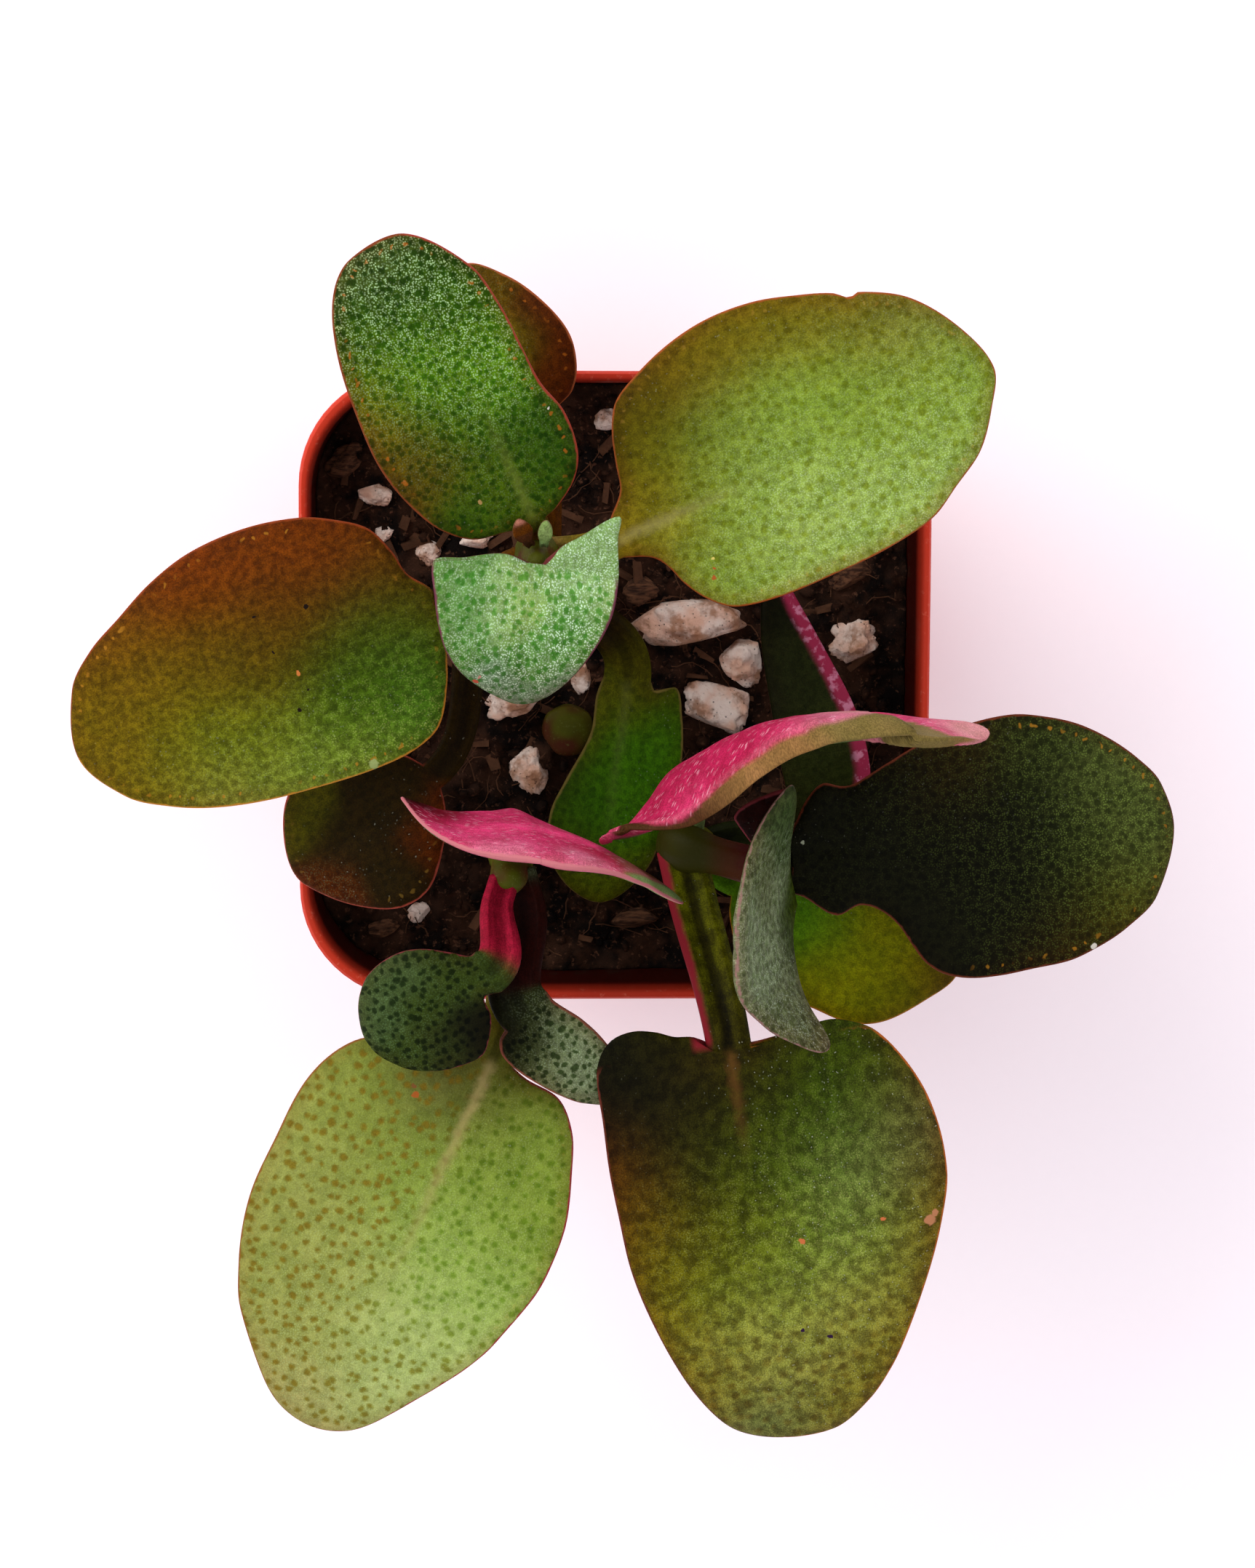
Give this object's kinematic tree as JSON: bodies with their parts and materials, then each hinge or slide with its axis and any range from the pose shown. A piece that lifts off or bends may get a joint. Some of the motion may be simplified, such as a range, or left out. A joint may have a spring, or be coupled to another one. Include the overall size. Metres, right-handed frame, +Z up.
{
  "type": "potted fairy crassula",
  "caption": "Young fairy crassula with paired, speckled, fleshy leaves in a square terracotta-coloured plastic nursery pot of peaty soil.",
  "frame": {"origin": "centre of the pot's underside", "axes": "+Z up out of the pot, -Y the pot's front, which the two largest leaves hang over, +X its right side"},
  "size_m": [0.0935, 0.1037, 0.0832],
  "materials": {
    "bark": "matte",
    "bloom_green": "satin",
    "dark_green": "satin",
    "dark_red_back": "satin",
    "dark_spotted": "satin",
    "glaucous": "satin",
    "grey_green": "satin",
    "magenta_back": "satin",
    "mottled_olive": "satin",
    "olive_green": "satin",
    "peat": "matte",
    "plain_green": "satin",
    "pot_plastic": "satin",
    "pumice": "matte",
    "rust_brown": "satin",
    "rust_green": "satin",
    "spotted_green": "satin",
    "stem_green": "satin",
    "yellow_green": "satin"
  },
  "bodies": {
    "root": {"bark_01": "bark", "bark_02": "bark", "bark_03": "bark", "bark_04": "bark", "bark_05": "bark", "bud_leaf_left": "bark", "bud_leaf_right": "glaucous", "cut_stub": "stem_green", "leaf_a_low_back": "rust_brown", "leaf_a_low_front": "plain_green", "leaf_a_low_left": "rust_brown", "leaf_a_mid_left": "rust_green", "leaf_a_mid_right": "olive_green", "leaf_a_top_back": "bloom_green", "leaf_a_top_front": "glaucous", "leaf_b_mid_back": "magenta_back", "leaf_b_mid_front": "spotted_green", "leaf_b_top_left": "dark_spotted", "leaf_b_top_right": "dark_spotted", "leaf_c_low_back": "plain_green", "leaf_c_low_right": "yellow_green", "leaf_c_mid_back": "magenta_back", "leaf_c_mid_front": "mottled_olive", "leaf_c_top_left": "grey_green", "leaf_c_top_right": "dark_green", "pot": "pot_plastic", "pumice_01": "pumice", "pumice_02": "pumice", "pumice_03": "pumice", "pumice_04": "pumice", "pumice_05": "pumice", "pumice_06": "pumice", "pumice_07": "pumice", "pumice_08": "pumice", "pumice_09": "pumice", "pumice_10": "pumice", "pumice_11": "pumice", "pumice_12": "pumice", "pumice_13": "pumice", "soil": "peat", "stem_a": "stem_green", "stem_b": "stem_green", "stem_c": "stem_green", "young_leaf_c": "dark_red_back"}
  },
  "joints": []
}
